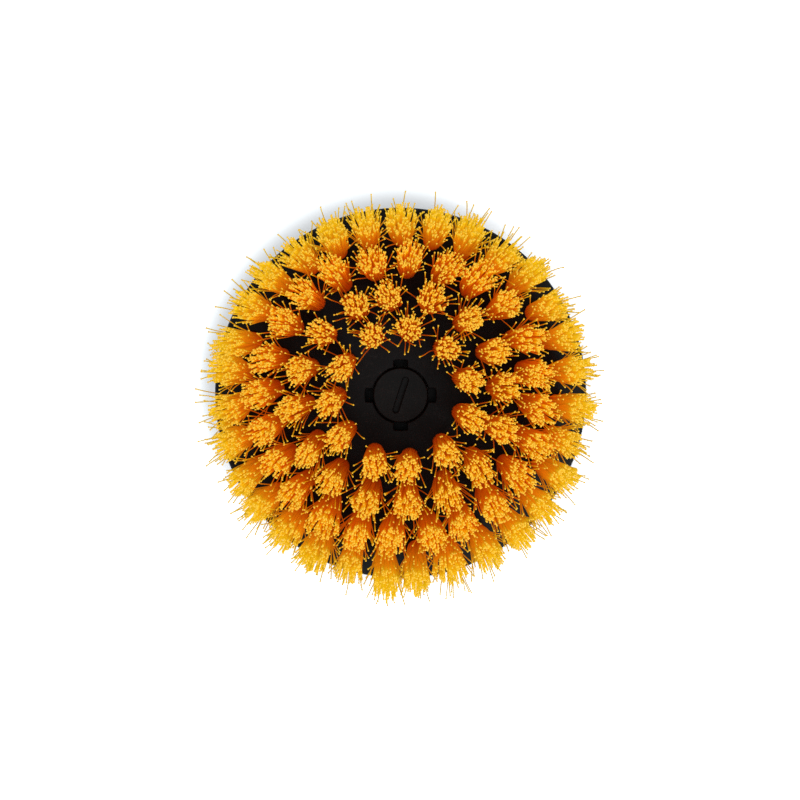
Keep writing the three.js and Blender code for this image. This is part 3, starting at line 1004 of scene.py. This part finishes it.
class WHEELBRUSH_OT_fasteners(bpy.types.Operator):
    """Finish the nut, its insert, the washer, the gasket and the tufts' anchors"""

    bl_idname = "wheelbrush.fasteners"
    bl_label = "Fasteners"

    def execute(self, context):
        settings = context.scene.wheel_brush_metal
        zinc = turned_metal("Zinc plate", settings.zinc_colour, 4200.0, 0.3)
        insert = plain_moulding("Insert nylon", (0.03, 0.09, 0.28), 0.45, 300.0)
        rubber = plain_moulding("Gasket rubber", (0.012, 0.012, 0.012), 0.78, 200.0)
        finishes = {"lock_nut": zinc, "nut_washer": zinc, "lock_nut_insert": insert, "cap_gasket": rubber}
        for name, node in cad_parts.items():
            if name.startswith("tuft_anchor"):
                finishes[name] = zinc
        for name, material in finishes.items():
            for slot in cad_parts[name].material_slots:
                slot.link = "OBJECT"
                slot.material = material
        return {"FINISHED"}


# ---- the bristles


def sunflower(count):
    """Even places over a disc of radius 1, as angles and radii."""
    index = np.arange(count) + 0.5
    return index * math.pi * (3 - math.sqrt(5)), np.sqrt(index / count)


def outward_from(angle):
    """Unit directions in a plane, one for each angle."""
    return np.stack([np.cos(angle), np.sin(angle)], 1)


def filament_paths(settings, random, tip_radius, place):
    """Each filament's centre line from inside the hole to its tip, its tone (lowest on strays, as painted
    shade), and whether it is a stray.
    """
    count = settings.filaments_per_tuft
    tip_radius *= random.normal(1, TUFT_RADIUS_SPREAD)
    angle, share = sunflower(count)
    angle = angle + random.uniform(0, math.tau)
    root_radius = HOLE_RADIUS - 0.6 * settings.filament_diameter
    root = outward_from(angle) * (share * root_radius)[:, None] + random.normal(0, ROOT_JITTER, (count, 2))

    # The tuft as a whole spreads more one way than the other, has an uneven outline, twists and drifts.
    twist = angle + random.normal(0, 0.12) + random.normal(0, 0.14, count)
    outline = np.ones(count)
    for lobes in OUTLINE_LOBES:
        outline += random.normal(0, LOBE_SPREAD) * np.cos(lobes * angle + random.uniform(0, math.tau))
    fan = outward_from(twist) * (outline * share**0.95)[:, None]
    tip = fan * tip_radius + random.normal(0, TIP_JITTER, (count, 2))
    turn, out = sunflower(CLUMPS)
    turn = turn + random.uniform(0, math.tau)
    clumps = outward_from(turn) * (out * tip_radius)[:, None]
    nearest = np.argmin(np.linalg.norm(tip[:, None] - clumps[None], axis=2), axis=1)
    tip += CLUMP_PULL * (clumps[nearest] - tip) + random.normal(0, TUFT_DRIFT, 2)
    shade = 0.6 * random.random(CLUMPS)[nearest] + 0.4 * random.random(count)

    height = settings.trim_height + random.normal(0, HEIGHT_JITTER, count)
    height -= np.where(random.random(count) < SHORT_SHARE, random.uniform(*SHORT_BY, count), 0)

    # Strays leave the bundle just above the block and lean out.
    stray = random.random(count) < settings.stray_share
    away = np.where(stray, STRAY_LEAST + settings.stray_reach * random.random(count) ** STRAY_POWER, 0)
    heading = twist + random.normal(0, 0.7, count)
    aside = outward_from(heading) * away[:, None]

    steps = np.array(FILAMENT_STEPS)
    lateral = (steps**0.74)[None, :, None]
    late = (np.clip((steps - STRAY_START) / 0.92, 0, 1) ** 1.3)[None, :, None]
    across = root[:, None] + (tip - root)[:, None] * lateral + aside[:, None] * late
    bow = random.normal(0, BOW, (count, 1, 2)) * np.sin(math.pi * steps)[None, :, None]
    wave = random.normal(0, WAVE, (count, 1, 2)) * np.sin(3 * math.pi * steps)[None, :, None]
    across = across + bow + wave
    up = height[:, None] * steps[None] - (away**2 / STRAY_DROP)[:, None] * steps[None] ** 2
    path = np.concatenate([across, up[..., None]], 2)
    sunk = path[:, :1] * [1, 1, 0] - [0, 0, SUNK]
    path = np.concatenate([sunk, path], 1)

    # In the brush's frame, and none far beyond the rim.
    matrix = np.array(place)
    path = path @ matrix[:3, :3].T + matrix[:3, 3]
    radial = np.linalg.norm(path[..., :2], axis=2, keepdims=True)
    soft = BRISTLE_REACH - BLOCK_RADIUS
    held = BLOCK_RADIUS + soft * np.tanh((radial - BLOCK_RADIUS) / soft)
    path[..., :2] *= np.where(radial > BLOCK_RADIUS, held / radial, 1)
    # Strays get the lowest tone as painted shade, since they catch the light only at a grazing angle; the rest
    # vary at random by clump and filament.
    tone = np.where(stray, 0, 0.5 + 0.5 * shade)
    return {"path": path, "steps": steps, "stray": stray, "shade": tone, "share": share}


def filament_mesh(name, settings, random, tip_radius, place):
    """One tuft's filaments as tubes with rounded, slightly swollen cut ends."""
    sides = FILAMENT_SIDES
    made = filament_paths(settings, random, tip_radius, place)
    path, steps = made["path"], made["steps"]
    count = len(path)
    radius = settings.filament_diameter / 2 * np.where(made["stray"], STRAY_THICKNESS, 1.0)
    last = path[:, -1] - path[:, -2]
    last /= np.linalg.norm(last, axis=1, keepdims=True)
    beyond = [path[:, -1] + last * far * MM for far, _, _ in END_RINGS]
    spine = np.concatenate([path, np.stack(beyond, 1)], 1)
    top = spine[:, -1] + last * END_DOME

    ahead = np.gradient(spine, axis=1)
    ahead /= np.linalg.norm(ahead, axis=2, keepdims=True)
    side = np.cross(ahead, [0.0, 1.0, 0.0])
    side /= np.linalg.norm(side, axis=2, keepdims=True)
    other = np.cross(ahead, side)
    widths = np.concatenate([np.full(path.shape[1], 1.0), [wide for _, wide, _ in END_RINGS]])
    turn = np.arange(sides) * math.tau / sides
    spin = random.uniform(0, math.tau, count)[:, None, None] + turn[None, None]
    rim = side[:, :, None] * np.cos(spin)[..., None] + other[:, :, None] * np.sin(spin)[..., None]
    rings = spine[:, :, None] + rim * (radius[:, None] * widths)[:, :, None, None]

    levels = spine.shape[1]
    per = levels * sides + 1
    points = np.concatenate([rings.reshape(count, -1, 3), top[:, None]], 1).reshape(-1, 3)
    level, corner = np.divmod(np.arange((levels - 1) * sides), sides)
    after = (corner + 1) % sides
    low, high = level * sides, (level + 1) * sides
    quads = np.stack([low + corner, low + after, high + after, high + corner], 1)
    corner = np.arange(sides)
    base = (levels - 1) * sides
    caps = np.stack([base + corner, base + (corner + 1) % sides, np.full(sides, levels * sides)], 1)
    starts = (np.arange(count) * per)[:, None, None]
    quads = (quads[None] + starts).reshape(-1, 4)
    caps = (caps[None] + starts).reshape(-1, 3)

    mesh = bpy.data.meshes.new(name)
    mesh.vertices.add(len(points))
    mesh.vertices.foreach_set("co", points.ravel())
    corners = np.concatenate([quads.ravel(), caps.ravel()])
    mesh.loops.add(len(corners))
    mesh.loops.foreach_set("vertex_index", corners)
    sizes = np.concatenate([np.full(len(quads), 4), np.full(len(caps), 3)])
    mesh.polygons.add(len(sizes))
    mesh.polygons.foreach_set("loop_start", np.concatenate([[0], np.cumsum(sizes)[:-1]]))
    mesh.polygons.foreach_set("use_smooth", np.ones(len(sizes), bool))
    mesh.update(calc_edges=True)

    along = np.concatenate([[0.0], steps, np.ones(len(END_RINGS))])
    # Paleness of the cut ends, partly the cut nylon and partly a painted highlight.
    pale = np.concatenate([np.zeros(path.shape[1]), [tone for _, _, tone in END_RINGS]])
    per_point = {
        "along": np.tile(np.append(np.repeat(along, sides), 1.0), count),
        "cut_end": np.tile(np.append(np.repeat(pale, sides), 1.0), count),
        "shade": np.repeat(made["shade"], per),
    }
    # Painted light: the nylon's colour turns yellow where daylight would get through it: near the tips, sooner
    # inside a tuft, and towards the rim.
    inner = np.repeat(1 - made["share"] ** 2, per)
    height = per_point["along"]
    per_point["opening"] = np.clip((height - 0.91 + 0.21 * inner) / (0.1 + 0.1 * inner), 0, 1)
    radial = np.linalg.norm(points[:, :2], axis=1)
    per_point["outwards"] = np.clip((radial - OUTWARDS_FROM) / OUTWARDS_SPAN, 0, 1)
    per_point["beyond"] = np.clip((radial - BEYOND_FROM) / BEYOND_SPAN, 0, 1) * np.sqrt(height)
    for label, values in per_point.items():
        attribute = mesh.attributes.new(label, "FLOAT", "POINT")
        attribute.data.foreach_set("value", values.astype(np.float32))

    # One column of the map for each filament, with its length up the column.
    four, three = [0.12, 0.88, 0.88, 0.12], [0.12, 0.88, 0.5]
    across = np.concatenate([np.tile(four, len(quads)), np.tile(three, len(caps))])
    column = (corners // per + across) / count
    row = 0.02 + 0.96 * np.append(np.repeat(np.linspace(0, 0.97, levels), sides), 1.0)[corners % per]
    layer = mesh.uv_layers.new(name="OFBake")
    layer.data.foreach_set("uv", np.stack([column, row], 1).ravel())
    return mesh


class WHEELBRUSH_OT_bristles(bpy.types.Operator):
    """Make every tuft of nylon filaments"""

    bl_idname = "wheelbrush.bristles"
    bl_label = "Bristle Tufts"

    def execute(self, context):
        settings = context.scene.wheel_brush_bristles
        nylon = bristle_nylon(settings)
        for ring, (count, _, _) in enumerate(RINGS):
            tip_radius = settings.tip_radius * (1 + settings.outer_spread * ring)
            for index in range(count):
                name = f"bristles_ring{ring + 1}_{index + 1:02d}"
                random = np.random.default_rng([ring, index, 7])
                mesh = filament_mesh(name, settings, random, tip_radius, tuft_place(ring, index))
                tuft = scene_object(name, mesh)
                own_node = f"tuft_ring{ring + 1}_{index + 1:02d}"
                node = own_node if own_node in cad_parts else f"tufts_ring{ring + 1}"
                finished(tuft, nylon, "brush", "bristle_nylon", node)
        return {"FINISHED"}


# ---- the stage


def direct_rays(tree):
    """A mask that is 1 for what the camera sees, straight, in a mirror or through glass."""
    path = add(tree, "ShaderNodeLightPath")
    seen = number(tree, "MAXIMUM", path.outputs["Is Camera Ray"], path.outputs["Is Glossy Ray"])
    return number(tree, "MAXIMUM", seen, path.outputs["Is Transmission Ray"])


def floor_material():
    """A white floor that keeps the brush's shadow, with a painted shadow: its lift to white is weaker near the
    brush, by distance alone.
    """
    material, tree, shader = new_material("Floor")
    fill(tree, shader, Base_Color=(0.86, 0.865, 0.875, 1), Roughness=0.9, Specular_IOR_Level=0.1)
    away = add(tree, "ShaderNodeVectorMath", operation="LENGTH")
    shifted = add(tree, "ShaderNodeVectorMath", operation="ADD")
    tree.links.new(own_place(tree), shifted.inputs[0])
    shifted.inputs[1].default_value = SHADE_CENTRE
    tree.links.new(shifted.outputs[0], away.inputs[0])
    # Painted shadow: the lift is low close to the brush and rises to white farther out.
    lift = spread(tree, away.outputs["Value"], *SHADE_EDGE, *FLOOR_LIFT)
    strength = number(tree, "MULTIPLY", direct_rays(tree), lift)
    # The emission's bluish colour tints the painted shadow.
    glow = fill(tree, add(tree, "ShaderNodeEmission"), Color=(0.90, 0.96, 1.0, 1), Strength=strength)
    both = add(tree, "ShaderNodeAddShader")
    output = next(node for node in tree.nodes if node.type == "OUTPUT_MATERIAL")
    tree.links.new(shader.outputs[0], both.inputs[0])
    tree.links.new(glow.outputs[0], both.inputs[1])
    # From below the floor is clear, so that the back of the brush can be seen.
    below = add(tree, "ShaderNodeMixShader")
    tree.links.new(add(tree, "ShaderNodeNewGeometry").outputs["Backfacing"], below.inputs[0])
    tree.links.new(both.outputs[0], below.inputs[1])
    tree.links.new(add(tree, "ShaderNodeBsdfTransparent").outputs[0], below.inputs[2])
    tree.links.new(below.outputs[0], output.inputs["Surface"])
    return material


def area_lamp(name, place, target, size, power):
    data = bpy.data.lights.new(name, "AREA")
    data.shape = "DISK"
    data.size = size
    data.energy = power
    lamp = scene_object(name, data)
    lamp.location = place
    lamp.rotation_euler = (Vector(target) - Vector(place)).to_track_quat("-Z", "Y").to_euler()


class WHEELBRUSH_OT_stage(bpy.types.Operator):
    """Make the camera, the lamps, the sky and the floor"""

    bl_idname = "wheelbrush.stage"
    bl_label = "Stage"

    def execute(self, context):
        settings = context.scene.wheel_brush_stage
        scene = context.scene
        scene.view_settings.view_transform = "Standard"
        self.camera(scene, settings)
        area_lamp("Key", KEY_PLACE, (0, 0, FACE_Z), KEY_SIZE, settings.key_power)
        area_lamp("Fill", FILL_PLACE, (0, 0, FACE_Z), FILL_SIZE, settings.fill_power)
        self.sky(scene, settings)
        side = FLOOR_HALF_SIDE
        corners = [(-side, -side, 0), (side, -side, 0), (side, side, 0), (-side, side, 0)]
        floor = mesh_object("floor", (corners, [[0, 1, 2, 3]]))
        floor.location.z = -FLOOR_DROP
        floor.data.materials.append(floor_material())
        return {"FINISHED"}

    @staticmethod
    def camera(scene, settings):
        data = bpy.data.cameras.new("Camera")
        data.lens = LENS
        camera = scene_object("Camera", data)
        place = Vector((0, settings.camera_offset, FACE_Z + settings.camera_height))
        target = Vector(AIM)
        back = (place - target).normalized()
        right = Vector((0, 1, 0)).cross(back).normalized()
        turn = Matrix((right, back.cross(right), back)).transposed()
        camera.matrix_world = Matrix.Translation(place) @ turn.to_4x4()
        scene.camera = camera

    @staticmethod
    def sky(scene, settings):
        world = bpy.data.worlds.new("Sky")
        scene.world = world
        world.use_nodes = True
        tree = world.node_tree
        back = next(node for node in tree.nodes if node.type == "BACKGROUND")
        back.inputs["Color"].default_value = (1, 1, 1, 1)
        strength = add(tree, "ShaderNodeMix", data_type="FLOAT")
        tree.links.new(direct_rays(tree), strength.inputs[0])
        strength.inputs[2].default_value = settings.sky_strength
        strength.inputs[3].default_value = 1.0
        tree.links.new(strength.outputs[0], back.inputs["Strength"])


# ---- the panel and the run

OPERATORS = (
    WHEELBRUSH_OT_stage,
    WHEELBRUSH_OT_block,
    WHEELBRUSH_OT_cap,
    WHEELBRUSH_OT_arbor,
    WHEELBRUSH_OT_fasteners,
    WHEELBRUSH_OT_bristles,
)
SETTINGS = {
    "wheel_brush_block": WheelBrushBlockSettings,
    "wheel_brush_cap": WheelBrushCapSettings,
    "wheel_brush_bristles": WheelBrushBristleSettings,
    "wheel_brush_metal": WheelBrushMetalSettings,
    "wheel_brush_stage": WheelBrushStageSettings,
}


class WHEELBRUSH_PT_sidebar(bpy.types.Panel):
    """Lists the brush's pieces and their settings"""

    bl_idname = "WHEELBRUSH_PT_sidebar"
    bl_label = "Wheel Brush"
    bl_space_type = "VIEW_3D"
    bl_region_type = "UI"
    bl_category = "Wheel Brush"

    def draw(self, context):
        for operator in OPERATORS:
            self.layout.operator(operator.bl_idname)
        for name, kind in SETTINGS.items():
            box = self.layout.box()
            for key in kind.__annotations__:
                box.prop(getattr(context.scene, name), key)


def register():
    for kind in (*SETTINGS.values(), *OPERATORS, WHEELBRUSH_PT_sidebar):
        bpy.utils.register_class(kind)
    for name, kind in SETTINGS.items():
        setattr(bpy.types.Scene, name, PointerProperty(type=kind))


def unregister():
    for name in SETTINGS:
        delattr(bpy.types.Scene, name)
    for kind in reversed((*SETTINGS.values(), *OPERATORS, WHEELBRUSH_PT_sidebar)):
        bpy.utils.unregister_class(kind)


def main():
    register()
    bpy.ops.wheelbrush.stage()
    bpy.ops.wheelbrush.block()
    bpy.ops.wheelbrush.cap()
    bpy.ops.wheelbrush.arbor()
    bpy.ops.wheelbrush.fasteners()
    bpy.ops.wheelbrush.bristles()


if __name__ == "__main__":
    main()
